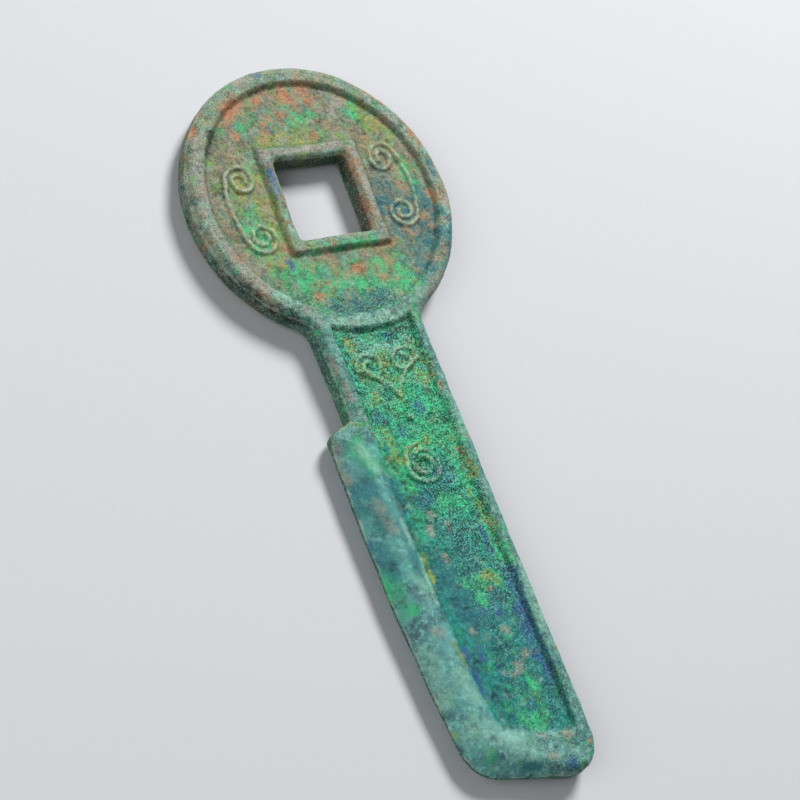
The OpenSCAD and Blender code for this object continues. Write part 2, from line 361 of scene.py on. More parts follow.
# Where one zone's patina gives way to the next: heights and the gap from a foot line in millimetres, with
# a drift that makes the heights uneven, and how flat the skin lies, from 1 on a face to 0 half way down
# a wall.
sandy_heights = (-5.0, -13.0)
neck_heights = (-9.0, -15.0)
teal_heights = (-26.0, -42.0)
tail_heights = (-33.0, -44.0)
foot_to_rim = (0.0, 0.6)
face_to_wall = (0.9, 0.5)
hole_wall_end = (7.0 * MM, 6.4 * MM)
whole = (0.0, 1.0)
drift_span = 10.0
drift = add(skin, "ShaderNodeMath", {0: grains["clouds"], 1: drift_span, 2: -drift_span / 2},
            operation="MULTIPLY_ADD")
height_on_coin = add(skin, "ShaderNodeSeparateXYZ", {0: place}).outputs["Y"]
along = add(skin, "ShaderNodeMath", {0: height_on_coin, 1: 1 / MM, 2: drift}, operation="MULTIPLY_ADD")
flatness = add(skin, "ShaderNodeMath", {0: marks["side"]}, operation="ABSOLUTE")


def by_place(amount, *steps):
    """An amount that changes from place to place, in steps of a measure, its two ends and a new amount."""
    for measure, (low, high), changed in steps:
        amount = add(skin, "ShaderNodeMapRange", {"Value": measure, "From Min": low, "From Max": high,
                                                  "To Min": amount, "To Max": changed})
    return amount


def coat(tone, colour, measure, low, high, most=1.0):
    """Lays a colour over a tone where a measure runs from low to high, up to a share of most."""
    share = add(skin, "ShaderNodeMapRange",
                {"Value": measure, "From Min": low, "From Max": high, "To Max": most},
                interpolation_type="SMOOTHSTEP")
    return add(skin, "ShaderNodeMix", {"Factor_Float": share, "A_Color": tone, "B_Color": colour},
               data_type="RGBA")


def ground(dark, middle, light):
    """A mottled tone of three colours."""
    tone = coat(dark, middle, grains["mottle"], 0.36, 0.58)
    return coat(tone, light, grains["speckle"], 0.48, 0.68, 0.8)


field_tone = ground("#4a503e", "#7e7c65", "#a8957b")
sandy = ground("#045a42", "#18a67a", "#4ccc9e")
sandy = coat(sandy, "#929a70", grains["stain"], 0.52, 0.64, 0.6)
sandy = coat(sandy, "#206072", grains["stain"], 0.46, 0.34, 0.65)
field_tone = coat(field_tone, sandy, along, *sandy_heights)
field_tone = coat(field_tone, ground("#064c52", "#0a7a72", "#389a94"), along, *teal_heights)
rim_tone = ground("#5f7365", "#81917e", "#a6aa98")
rim_tone = coat(rim_tone, ground("#3c6d66", "#5c948a", "#8cb8ac"), along, *neck_heights)
rim_tone = coat(rim_tone, ground("#446a70", "#5a9894", "#7dbfb4"), marks["bevel"], *whole)
tone = coat(field_tone, rim_tone, marks["foot_gap"], *foot_to_rim)
# Painted shade: the side walls get a darker mottled tone than the faces, a little lighter on the neck.
shaded_wall_tone = ground("#1b2622", "#44564a", "#86917f")
shaded_wall_tone = coat(shaded_wall_tone, ground("#1c4034", "#467660", "#86a68c"), along, *neck_heights)
tone = coat(tone, shaded_wall_tone, flatness, 1.0, 0.7, 0.8)

# Minerals, each with the colours of its thin haze and of its thick flecks, how common it is on the blade
# and on the head, and how well it holds where it grew. On the smooth broad edge they are soft clouds,
# elsewhere they break up into crystals, and faces that lay downwards get them at random.
minerals = (
    ("malachite", "#2a9c62", "#34c07c", 0.3, 0.3, 0.75),
    ("verdigris", "#74a892", "#8fbfae", 0.18, 0.28, 0.75),
    ("ochre", "#6a963f", "#9f9a50", 0.02, 0.28, 0.75),
    ("teal", "#217270", "#17606c", 0.1, 0.1, 1.0),
    ("azurite", "#2c6684", "#235086", 0.1, 0.15, 0.82),
    ("blush", "#828f80", "#a09488", 0.05, 0.3, 0.75),
    ("cuprite", "#93805f", "#b8744f", -0.15, 0.36, 0.75),
    # Soot: dark deposits, and where its patches lie, partly painted shade.
    ("soot_and_shade", "#22332c", "#0e1815", 0.1, 0.0, 0.75),
)
mineral_seed = 20.0
smooth = by_place(0.0, (marks["foot_gap"], foot_to_rim, marks["bevel"]))
unseen = by_place(0.0, (marks["side"], (0.9, 0.3), 1.0))
lump_sizes = (
    ("blots", 1.2, 4, by_place(2.4, (smooth, whole, 1.6))),
    ("strays", 8.0, 2, by_place(0.4, (unseen, whole, 1.5))),
    ("crystals", 0.4, 1, by_place(1.4, (along, neck_heights, 2.4), (along, tail_heights, 1.5),
                                  (smooth, whole, 1.2))),
)
cover = by_place(0.75, (smooth, whole, 0.5))
for number, (mineral, haze, flecks, on_blade, on_head, hold) in enumerate(minerals):
    grown = add(skin, "ShaderNodeAttribute", attribute_name=mineral).outputs["Fac"]
    common = by_place(on_head, (along, neck_heights, on_blade))
    strength = add(skin, "ShaderNodeMath", {0: grown, 1: hold, 2: common}, operation="MULTIPLY_ADD")
    for name, size, detail, amount in lump_sizes:
        if name == "crystals":
            tone = coat(tone, haze, strength, 0.25, 0.85, cover)
        lump = add(skin, "ShaderNodeTexNoise",
                   {"Vector": place, "W": mineral_seed + number, "Scale": 1 / (size * MM),
                    "Detail": detail}, noise_dimensions="4D").outputs["Fac"]
        lump = add(skin, "ShaderNodeMath", {0: lump, 1: 0.5}, operation="SUBTRACT")
        strength = add(skin, "ShaderNodeMath", {0: lump, 1: amount, 2: strength},
                       operation="MULTIPLY_ADD")
    tone = coat(tone, flecks, strength, 0.65, 1.2, cover)

# Wear, dirt and painted light: pale along the outer edges (wear, and a painted highlight on the arris) and
# on the scrolls, dark in the foot lines (dirt, and painted shade) and in the pits, painted shade on the
# side walls and in the hole, with dark crumbs and fine sand over all. The sand is drawn coarser than it
# is, so that it shows.
# Pale along the outer edges: partly wear, partly a painted highlight on the arris.
edge_wear_and_highlight = add(skin, "ShaderNodeMath", {0: grains["blot"], 1: marks["edge_gap"]}, operation="SUBTRACT")
edge_wear_and_highlight = add(skin, "ShaderNodeMath", {0: edge_wear_and_highlight, 1: flatness}, operation="ADD")
tone = coat(tone, "#b9bda4", edge_wear_and_highlight, 1.36, 1.56, 0.45)
rubbed = add(skin, "ShaderNodeMath", {0: grains["speckle"], 1: 1.6, 2: marks["scroll"]},
             operation="MULTIPLY_ADD")
tone = coat(tone, "#b0c0a0", rubbed, 1.2, 2.0, 0.6)
# Dark in the foot lines: partly dirt, partly painted shade at the rims' feet, weaker on the broad bevel.
foot_line_dirt_and_shade = add(skin, "ShaderNodeMath", {0: marks["foot_gap"], 1: 0.05}, operation="ADD")
foot_line_dirt_and_shade = add(skin, "ShaderNodeMath", {0: foot_line_dirt_and_shade}, operation="ABSOLUTE")
tone = coat(tone, "#101c17", foot_line_dirt_and_shade, 0.3, 0.05, by_place(0.3, (marks["bevel"], whole, 0.1)))
tone = coat(tone, "#06120e", marks["crust"], 0.0, -0.1, 0.85)
# Painted shade: the side walls darkened further.
tone = coat(tone, "#141c18", flatness, *face_to_wall, 0.3)
# Painted shade: the walls of the hole darkened, as they lie in shade.
from_hole = add(skin, "ShaderNodeVectorMath", {0: place}, operation="LENGTH")
tone = coat(tone, "#17110b", flatness, 0.9, 0.6, by_place(0.0, (from_hole, hole_wall_end, 0.5)))
bright = coat("#b3b48c", "#5cd8ac", along, *neck_heights)
bright = coat(bright, "#8fc8c4", along, *tail_heights)
bright = coat(bright, "#b4cfc0", marks["foot_gap"], *foot_to_rim)
tone = coat(tone, bright, marks["crust"], 0.02, 0.12, 0.45)
tone = coat(tone, "#16241e", grains["blot"], 0.46, 0.28, 0.5)
crumbs = by_place(0.2, (along, neck_heights, 0.65), (along, tail_heights, 0.35),
                  (marks["foot_gap"], foot_to_rim, 0.2), (flatness, (0.95, 0.7), 0.45))
tone = coat(tone, "#0a1a12", grains["speckle"], 0.45, 0.33, crumbs)
grit = by_place(1.1, (along, neck_heights, 3.0), (along, tail_heights, 1.3),
                (marks["foot_gap"], foot_to_rim, 1.2), (marks["bevel"], (0.5, 1.0), 0.6),
                (flatness, face_to_wall, 1.4))
sand = add(skin, "ShaderNodeMath", {0: grains["sand"], 1: 0.5}, operation="SUBTRACT")
sand = add(skin, "ShaderNodeMath", {0: sand, 1: grit}, operation="MULTIPLY")
tone = coat(tone, bright, sand, 0.05, 0.25, 0.5)
tone = coat(tone, "#07110e", sand, -0.03, -0.22, 0.75)
roughness = by_place(0.5, (grains["speckle"], whole, 0.85))
bumps = add(skin, "ShaderNodeBump", {"Strength": 0.7, "Distance": 0.07 * MM, "Height": grains["sand"]})
surface = add(skin, "ShaderNodeBsdfPrincipled",
              {"Base Color": tone, "Roughness": roughness, "Specular IOR Level": 0.3, "Normal": bumps})
add(skin, "ShaderNodeOutputMaterial", {"Surface": surface})

# Relief. One rule shapes the whole casting: metal rises over a short slope from each foot line to the
# rim's top, falls off towards the outline, most along the cutting edge, and stands up along the scrolls.
# Soil left a crust that is coarse in the fields. Places and sizes are in millimetres, the rest no unit.
field_low, field_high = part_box("head_field")
bevel_top = shoulder_y - 0.3
bevel_full = shoulder_y - 3.6
bevel_right = 3.2
bevel_left = -5.0
hole_round_end = 9.0
spine_slope_y = (-14.0, -16.0)
spine_slope_x = (2.4, 3.2)
sharp_spine_y = -40.0
soft_spine_y = -37.0
tail_crust_y = -46.0
neck_crust_y = -32.0
flake_size = 1.1
flake_edge = 0.09
flake_step = 0.17
pit_size = 0.4
scroll_wear_size = 1.2
scroll_wear = 3.0
scroll_mean = 0.95
scroll_crust = 0.4
sway_size = 6.0
sag_size = 5.0
sag_share = 0.4
relief = bpy.data.node_groups.new("cast_relief", "GeometryNodeTree")
relief.interface.new_socket("Geometry", in_out="OUTPUT", socket_type="NodeSocketGeometry")
relief_inputs = [
    ("Geometry", "NodeSocketGeometry", None),
    ("Outline", "NodeSocketObject", mould_outline),
    ("Foot lines", "NodeSocketObject", mould_feet),
    ("Scrolls", "NodeSocketObject", mould_scrolls),
    ("Bronze", "NodeSocketMaterial", bronze),
    ("Rim or field", "NodeSocketFloat", 1.0),
    ("Mid height", "NodeSocketFloat", cad_high.z / 2),
    ("Rim half", "NodeSocketFloat", cad_high.z / 2),
    ("Field half", "NodeSocketFloat", (field_high.z - field_low.z) / 2),
    ("Slope start", "NodeSocketFloat", -0.2 * MM),
    ("Slope end", "NodeSocketFloat", 0.45 * MM),
    ("Soft slope start", "NodeSocketFloat", -0.5 * MM),
    ("Soft slope end", "NodeSocketFloat", 1.6 * MM),
    ("Spine slope soft", "NodeSocketFloat", 0.16 * MM),
    ("Spine slope sharp", "NodeSocketFloat", -0.15 * MM),
    ("Round width", "NodeSocketFloat", 0.8 * MM),
    ("Round drop", "NodeSocketFloat", 0.6 * MM),
    ("Hole round width", "NodeSocketFloat", 0.5 * MM),
    ("Hole round drop", "NodeSocketFloat", 0.35 * MM),
    ("Round power", "NodeSocketFloat", 2.0),
    ("Bevel width", "NodeSocketFloat", 2.5 * MM),
    ("Bevel drop", "NodeSocketFloat", 1.25 * MM),
    ("Bevel power", "NodeSocketFloat", 1.6),
    ("Scroll foot", "NodeSocketFloat", 0.46 * MM),
    ("Scroll top", "NodeSocketFloat", 0.06 * MM),
    ("Scroll height", "NodeSocketFloat", 0.27 * MM),
    ("Wall bulge", "NodeSocketFloat", 0.1 * MM),
    ("Wall crust", "NodeSocketFloat", 0.5),
    ("Wobble", "NodeSocketFloat", 0.4 * MM),
    ("Head crust", "NodeSocketFloat", 0.18 * MM),
    ("Neck crust", "NodeSocketFloat", 0.25 * MM),
    ("Tail crust", "NodeSocketFloat", 0.13 * MM),
    ("Rim crust", "NodeSocketFloat", 0.17 * MM),
    ("Edge crust", "NodeSocketFloat", 0.06 * MM),
    ("Seed", "NodeSocketFloat", 5.0),
]
for name, kind, _ in relief_inputs:
    relief.interface.new_socket(name, in_out="INPUT", socket_type=kind)
given = add(relief, "NodeGroupInput").outputs
plan = add(relief, "GeometryNodeInputPosition")
plan_axes = add(relief, "ShaderNodeSeparateXYZ", {0: plan}).outputs
level = add(relief, "GeometryNodeInputNamedAttribute", {"Name": "side"}, data_type="FLOAT")
outward = add(relief, "GeometryNodeInputNamedAttribute", {"Name": "outward"}, data_type="FLOAT_VECTOR")


def gap_to(lines):
    """Distance in the plan to the nearest of the scored lines."""
    shape = add(relief, "GeometryNodeObjectInfo", {"Object": lines}).outputs["Geometry"]
    near = add(relief, "GeometryNodeProximity", {"Geometry": shape, "Sample Position": plan},
               target_element="EDGES")
    return near.outputs["Distance"]


def lumps(point, size_mm, detail, shift):
    """Noise from -0.5 to 0.5, with lumps of about size_mm."""
    seed = add(relief, "ShaderNodeMath", {0: given["Seed"], 1: shift}, operation="ADD")
    noise = add(relief, "ShaderNodeTexNoise",
                {"Vector": point, "W": seed, "Scale": 1 / (size_mm * MM), "Detail": detail,
                 "Roughness": 0.55}, noise_dimensions="4D").outputs["Fac"]
    return add(relief, "ShaderNodeMath", {0: noise, 1: 0.5}, operation="SUBTRACT")


from_edge = gap_to(given["Outline"])
from_foot = add(relief, "ShaderNodeMath", {0: gap_to(given["Foot lines"]), 1: given["Rim or field"]},
                operation="MULTIPLY")
below_shoulder = add(relief, "ShaderNodeMapRange",
                     {"Value": plan_axes["Y"], "From Min": bevel_top * MM, "From Max": bevel_full * MM},
                     interpolation_type="SMOOTHSTEP")
bevel_share = add(relief, "ShaderNodeMapRange",
                  {"Value": plan_axes["X"], "From Min": bevel_right * MM, "From Max": bevel_left * MM,
                   "To Max": below_shoulder}, interpolation_type="SMOOTHSTEP")
by_bevel = {}
for name, plain, broad in (("start", "Slope start", "Soft slope start"),
                           ("end", "Slope end", "Soft slope end"),
                           ("width", "Round width", "Bevel width"),
                           ("drop", "Round drop", "Bevel drop"),
                           ("power", "Round power", "Bevel power"),
                           ("crust", "Rim crust", "Edge crust")):
    by_bevel[name] = add(relief, "ShaderNodeMapRange",
                         {"Value": bevel_share, "To Min": given[plain], "To Max": given[broad]})
spread = add(relief, "ShaderNodeMapRange",
             {"Value": plan_axes["Y"], "From Min": sharp_spine_y * MM, "From Max": soft_spine_y * MM,
              "To Min": given["Spine slope sharp"], "To Max": given["Spine slope soft"]},
             interpolation_type="SMOOTHSTEP")
for axis, (low, high) in (("Y", spine_slope_y), ("X", spine_slope_x)):
    spread = add(relief, "ShaderNodeMapRange",
                 {"Value": plan_axes[axis], "From Min": low * MM, "From Max": high * MM, "To Max": spread},
                 interpolation_type="SMOOTHSTEP")
slope_start = add(relief, "ShaderNodeMath", {0: by_bevel["start"], 1: spread}, operation="SUBTRACT")
slope_end = add(relief, "ShaderNodeMath", {0: by_bevel["end"], 1: spread}, operation="ADD")
rise = add(relief, "ShaderNodeMapRange",
           {"Value": from_foot, "From Min": slope_start, "From Max": slope_end,
            "To Min": given["Field half"], "To Max": given["Rim half"]}, interpolation_type="SMOOTHSTEP")
from_middle = add(relief, "ShaderNodeVectorMath", {0: plan}, operation="LENGTH").outputs["Value"]
for name, own in (("width", "Hole round width"), ("drop", "Hole round drop")):
    by_bevel[name] = add(relief, "ShaderNodeMapRange",
                         {"Value": from_middle, "From Min": head_foot_r * MM,
                          "From Max": hole_round_end * MM, "To Min": by_bevel[name], "To Max": given[own]})
near_edge = add(relief, "ShaderNodeMapRange",
                {"Value": from_edge, "From Min": by_bevel["width"], "From Max": 0.0})
fall = add(relief, "ShaderNodeMath", {0: near_edge, 1: by_bevel["power"]}, operation="POWER")
fall = add(relief, "ShaderNodeMath", {0: fall, 1: by_bevel["drop"]}, operation="MULTIPLY")
half = add(relief, "ShaderNodeMath", {0: rise, 1: fall}, operation="SUBTRACT")
front_level = add(relief, "ShaderNodeMath", {0: level, 1: 0.0}, operation="MAXIMUM")
stroke = add(relief, "ShaderNodeMapRange",
             {"Value": gap_to(given["Scrolls"]), "From Min": given["Scroll foot"],
              "From Max": given["Scroll top"], "To Max": front_level}, interpolation_type="SMOOTHSTEP")
height = add(relief, "ShaderNodeMath", {0: half, 1: level, 2: given["Mid height"]},
             operation="MULTIPLY_ADD")
stroke_wear = add(relief, "ShaderNodeMath",
                  {0: lumps(plan, scroll_wear_size, 3, 13.0), 1: scroll_wear, 2: scroll_mean},
                  operation="MULTIPLY_ADD")
stroke = add(relief, "ShaderNodeMath", {0: stroke, 1: stroke_wear}, operation="MULTIPLY")
height = add(relief, "ShaderNodeMath", {0: stroke, 1: given["Scroll height"], 2: height},
             operation="MULTIPLY_ADD")
shaped = add(relief, "ShaderNodeCombineXYZ", {"X": plan_axes["X"], "Y": plan_axes["Y"], "Z": height})

blade_crust = add(relief, "ShaderNodeMapRange",
                  {"Value": plan_axes["Y"], "From Min": tail_crust_y * MM, "From Max": neck_crust_y * MM,
                   "To Min": given["Tail crust"], "To Max": given["Neck crust"]})
field_crust = add(relief, "ShaderNodeMapRange",
                  {"Value": plan_axes["Y"], "From Min": -head_r * MM, "From Max": -head_foot_r * MM,
                   "To Min": blade_crust, "To Max": given["Head crust"]})
crust_depth = add(relief, "ShaderNodeMapRange",
                  {"Value": from_foot, "From Min": given["Slope start"], "From Max": given["Slope end"],
                   "To Min": field_crust, "To Max": by_bevel["crust"]},
                  interpolation_type="SMOOTHSTEP")
flakes = add(relief, "ShaderNodeMapRange",
             {"Value": lumps(shaped, flake_size, 4, 0.0), "From Min": -flake_edge,
              "From Max": flake_edge, "To Min": -flake_step, "To Max": flake_step},
             interpolation_type="SMOOTHSTEP")
crust = add(relief, "ShaderNodeMath", {0: lumps(shaped, pit_size, 3, 3.0), 1: flakes}, operation="ADD")
bare = add(relief, "ShaderNodeMapRange", {"Value": stroke, "To Min": 1.0, "To Max": scroll_crust})
crust_depth = add(relief, "ShaderNodeMath", {0: crust_depth, 1: bare}, operation="MULTIPLY")
crust_lift = add(relief, "ShaderNodeMath", {0: crust, 1: crust_depth}, operation="MULTIPLY")
belly = add(relief, "ShaderNodeMath", {0: level, 1: level}, operation="MULTIPLY")
belly = add(relief, "ShaderNodeMath", {0: 1.0, 1: belly}, operation="SUBTRACT")
belly = add(relief, "ShaderNodeMath", {0: belly, 1: given["Wall bulge"]}, operation="MULTIPLY")
belly = add(relief, "ShaderNodeMath", {0: crust_lift, 1: given["Wall crust"], 2: belly},
            operation="MULTIPLY_ADD")
sideways = add(relief, "ShaderNodeVectorMath", {0: outward, "Scale": belly}, operation="SCALE")
lift = add(relief, "ShaderNodeMath", {0: crust_lift, 1: level}, operation="MULTIPLY")
upwards = add(relief, "ShaderNodeCombineXYZ", {"Z": lift})
sag = add(relief, "ShaderNodeMath", {0: lumps(shaped, sag_size, 2, 11.0), 1: sag_share},
          operation="MULTIPLY")
sway = add(relief, "ShaderNodeCombineXYZ",
           {"X": lumps(plan, sway_size, 2, 7.0), "Y": lumps(plan, sway_size, 2, 9.0), "Z": sag})
sway = add(relief, "ShaderNodeVectorMath", {0: sway, "Scale": given["Wobble"]}, operation="SCALE")
moved = shaped
for offset in (sideways, upwards, sway):
    moved = add(relief, "ShaderNodeVectorMath", {0: moved, 1: offset}, operation="ADD")
cast = given["Geometry"]
for name, value, scale in (("foot_gap", from_foot, 1 / MM), ("edge_gap", from_edge, 1 / MM),
                           ("bevel", bevel_share, 1.0), ("scroll", stroke, 1.0),
                           ("crust", crust_lift, 1 / MM)):
    value = add(relief, "ShaderNodeMath", {0: value, 1: scale}, operation="MULTIPLY")
    cast = add(relief, "GeometryNodeStoreNamedAttribute",
               {"Geometry": cast, "Name": name, "Value": value}, data_type="FLOAT", domain="POINT")
cast = add(relief, "GeometryNodeSetPosition", {"Geometry": cast, "Position": moved})
cast = add(relief, "GeometryNodeRealizeInstances", {"Geometry": cast})
cast = add(relief, "GeometryNodeSetMaterial", {"Geometry": cast, "Material": given["Bronze"]})
add(relief, "NodeGroupOutput", {"Geometry": cast})

# Pour. Each zone of the casting is a closed sheet: the plan filled with fine triangles on both faces,
# with the casting's side wall along the outline and a flat cut where the next zone carries on.
wall_rows = 12
places_per_mm = 1e4
border_clear = 0.6 * skin_step
outline_keys = {}
cast_zones = []


def key_of(point):
    """A point's place, rounded so that equal points of two runs match."""
    return round(point.real * places_per_mm), round(point.imag * places_per_mm)


for run, inwards in ((outline, 1), (hole_edge, -1)):
    for before, here, after in zip(np.roll(run, 1), run, np.roll(run, -1)):
        outline_keys[key_of(here)] = -1j * inwards * (after - before) / abs(after - before)


def filled(loops):
    """Points and triangles, as fine as the skin, between an outer loop and any inner ones."""
    border = np.concatenate(loops)
    near = KDTree(len(border))
    for index, p in enumerate(border):
        near.insert((p.real, p.imag, 0), index)
    near.balance()
    ends = np.concatenate([np.roll(loop, -1) for loop in loops])
    row_gap = skin_step * math.sqrt(3) / 2
    inside = []
    for row in range(math.ceil(border.imag.min() / row_gap), math.ceil(border.imag.max() / row_gap)):
        y = row * row_gap + 1e-7
        crossing = (border.imag > y) != (ends.imag > y)
        a, b = border[crossing], ends[crossing]
        cuts = np.sort(a.real + (b.real - a.real) * (y - a.imag) / (b.imag - a.imag))
        for low, high in zip(cuts[::2], cuts[1::2]):
            shift = 0.5 * (row % 2)
            steps = np.arange(math.ceil(low / skin_step - shift), high / skin_step - shift)
            inside += [complex((step + shift) * skin_step, y) for step in steps]
    inside = [p for p in inside if near.find((p.real, p.imag, 0))[2] > border_clear]
    edges, inner, first = [], np.zeros(len(border), int), 0
    for number, loop in enumerate(loops):
        edges += [(first + k, first + (k + 1) % len(loop)) for k in range(len(loop))]
        inner[first:first + len(loop)] = number
        first += len(loop)
    points = np.array([*border, *inside])
    result = delaunay_2d_cdt([Vector((p.real, p.imag)) for p in points], edges, [], 1, 1e-7)
    source = np.array([origin[0] for origin in result[3]])
    loop_of = np.where(source < len(border), inner[np.minimum(source, len(border) - 1)], 0)
    triangles = np.array(result[2])
    in_inner_loop = loop_of[triangles].min(axis=1) > 0
    return points[source], triangles[~in_inner_loop]


def pour(name, node, field, loops):
    """Casts one zone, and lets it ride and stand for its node."""
    flat, triangles = filled(loops)
    count = len(flat)
    points = [*flat, *flat]
    levels = [1.0] * count + [-1.0] * count
    outwards = [outline_keys.get(key_of(p), 0) for p in flat] * 2
    directed = set()
    for a, b, c in triangles.tolist():
        directed.update(((a, b), (b, c), (c, a)))
    rim_pairs = sorted((a, b) for a, b in directed if (b, a) not in directed)
    columns = {}
    for a in sorted({index for pair in rim_pairs for index in pair}):
        columns[a] = [a, a + count]
        if outwards[a]:
            columns[a] = [a, *range(len(points), len(points) + wall_rows - 1), a + count]
            for row in range(1, wall_rows):
                points.append(flat[a])
                levels.append(1 - 2 * row / wall_rows)
                outwards.append(outwards[a])
    faces = triangles.tolist() + (triangles[:, ::-1] + count).tolist()
    cuts = []
    for a, b in rim_pairs:
        left, right = columns[a], columns[b]
        if outwards[a] and outwards[b]:
            faces += [(right[k], left[k], left[k + 1], right[k + 1]) for k in range(wall_rows)]
        else:
            cuts.append([*left, *reversed(right)])
    seam_start = len(faces)
    points, levels, outwards = np.array(points), np.array(levels), np.array(outwards)
    mesh = bpy.data.meshes.new(name)
    mesh.from_pydata(np.stack([points.real, points.imag, 0 * points.real], 1) * MM, [], faces + cuts)
    mesh.attributes.new("side", "FLOAT", "POINT").data.foreach_set("value", levels)
    vectors = np.stack([outwards.real, outwards.imag, 0 * outwards.real], 1).ravel()
    mesh.attributes.new("outward", "FLOAT_VECTOR", "POINT").data.foreach_set("vector", vectors)
    mesh.polygons.foreach_set("use_smooth", [True] * len(mesh.polygons))
    zone = bpy.data.objects.new(name, mesh)
    bpy.context.collection.objects.link(zone)
    modifier = zone.modifiers.new("cast_relief", "NODES")
    modifier.node_group = relief
    values = {label: value for label, _, value in relief_inputs if value is not None}
    values["Rim or field"] = -1.0 if field else 1.0
    for socket in relief.interface.items_tree:
        if socket.in_out == "INPUT" and socket.name in values:
            modifier[socket.identifier] = values[socket.name]
    depsgraph = bpy.context.evaluated_depsgraph_get()
    zone.data = bpy.data.meshes.new_from_object(zone.evaluated_get(depsgraph), depsgraph=depsgraph)
    zone.modifiers.clear()
    cast_zones.append((zone.data, points, levels, seam_start))
    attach(zone, "root")
    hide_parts(node)


# Head's rim: the raised ring round the coin's head, in bronze under a pale grey-green crust. It was
# poured with the rest of the coin, so it has no fastening, and the neck grows out of it.
pour("head_ring", "outer_rim", False,
     [joined(head_edge, neck_joint, field_joint, spine_joint)[:-1], head_foot])

# Head's field: the sunken ring of bronze between the head's rim and the hole's, stained green and red.
# The mould's clay was left standing there, and a cloud scroll was pressed into it on each side.
pour("head_ground", "head_field", True, [head_foot, hole_foot])

# Hole's rim: the raised bronze frame round the square hole that the coin was strung by. It was cast
# against a clay peg, which left its inner walls straight.
pour("hole_frame", "hole_rim", False, [hole_foot, hole_edge])

# Blade's field: the sunken bronze strip that runs from the head down to the tail, emerald and sandy near
# the neck and teal at the end. It was cast with the rims round it, and has a horn scroll and a coil.
pour("blade_ground", "blade_field", True, [blade_foot])

# Neck's rim: the narrow raised bronze rim on the neck's left, from the head to the shoulder. It was cast
# in one with the head's rim and leaves it in a hollow corner.
pour("neck_rib", "neck_rim", False,
     [joined(neck_edge, shoulder_seam, neck_foot[::-1], neck_joint[::-1])[:-1]])

# Cutting edge: the broad bronze rim along the blade's left side, under a smooth pale crust. It was cast
# with its bevel, which begins below the shoulder and runs out to a thin edge.
pour("edge_bevel", "cutting_edge", False,
     [joined(cutting_edge_line, edge_seam, edge_foot[::-1], shoulder_seam[::-1])[:-1]])

# Tail's rim: the broad bronze rim across the end of the blade, under the same smooth crust. It was cast
# in one with the cutting edge and the spine, and the bevel dies out in it.
pour("tail_rib", "end_rim", False,
     [joined(tail_edge, spine_seam, tail_foot[::-1], edge_seam[::-1])[:-1]])

# Spine's rim: the narrow raised bronze rim along the blade's right side. It was cast in one with the
# head's rim, which it meets in a hollow corner, and with the tail's.
pour("spine_rib", "spine_rim", False,
     [joined(spine_edge, spine_joint[::-1], spine_foot[::-1], spine_seam[::-1])[:-1]])

for lines in (mould_outline, mould_feet, mould_scrolls):
    bpy.data.objects.remove(lines)
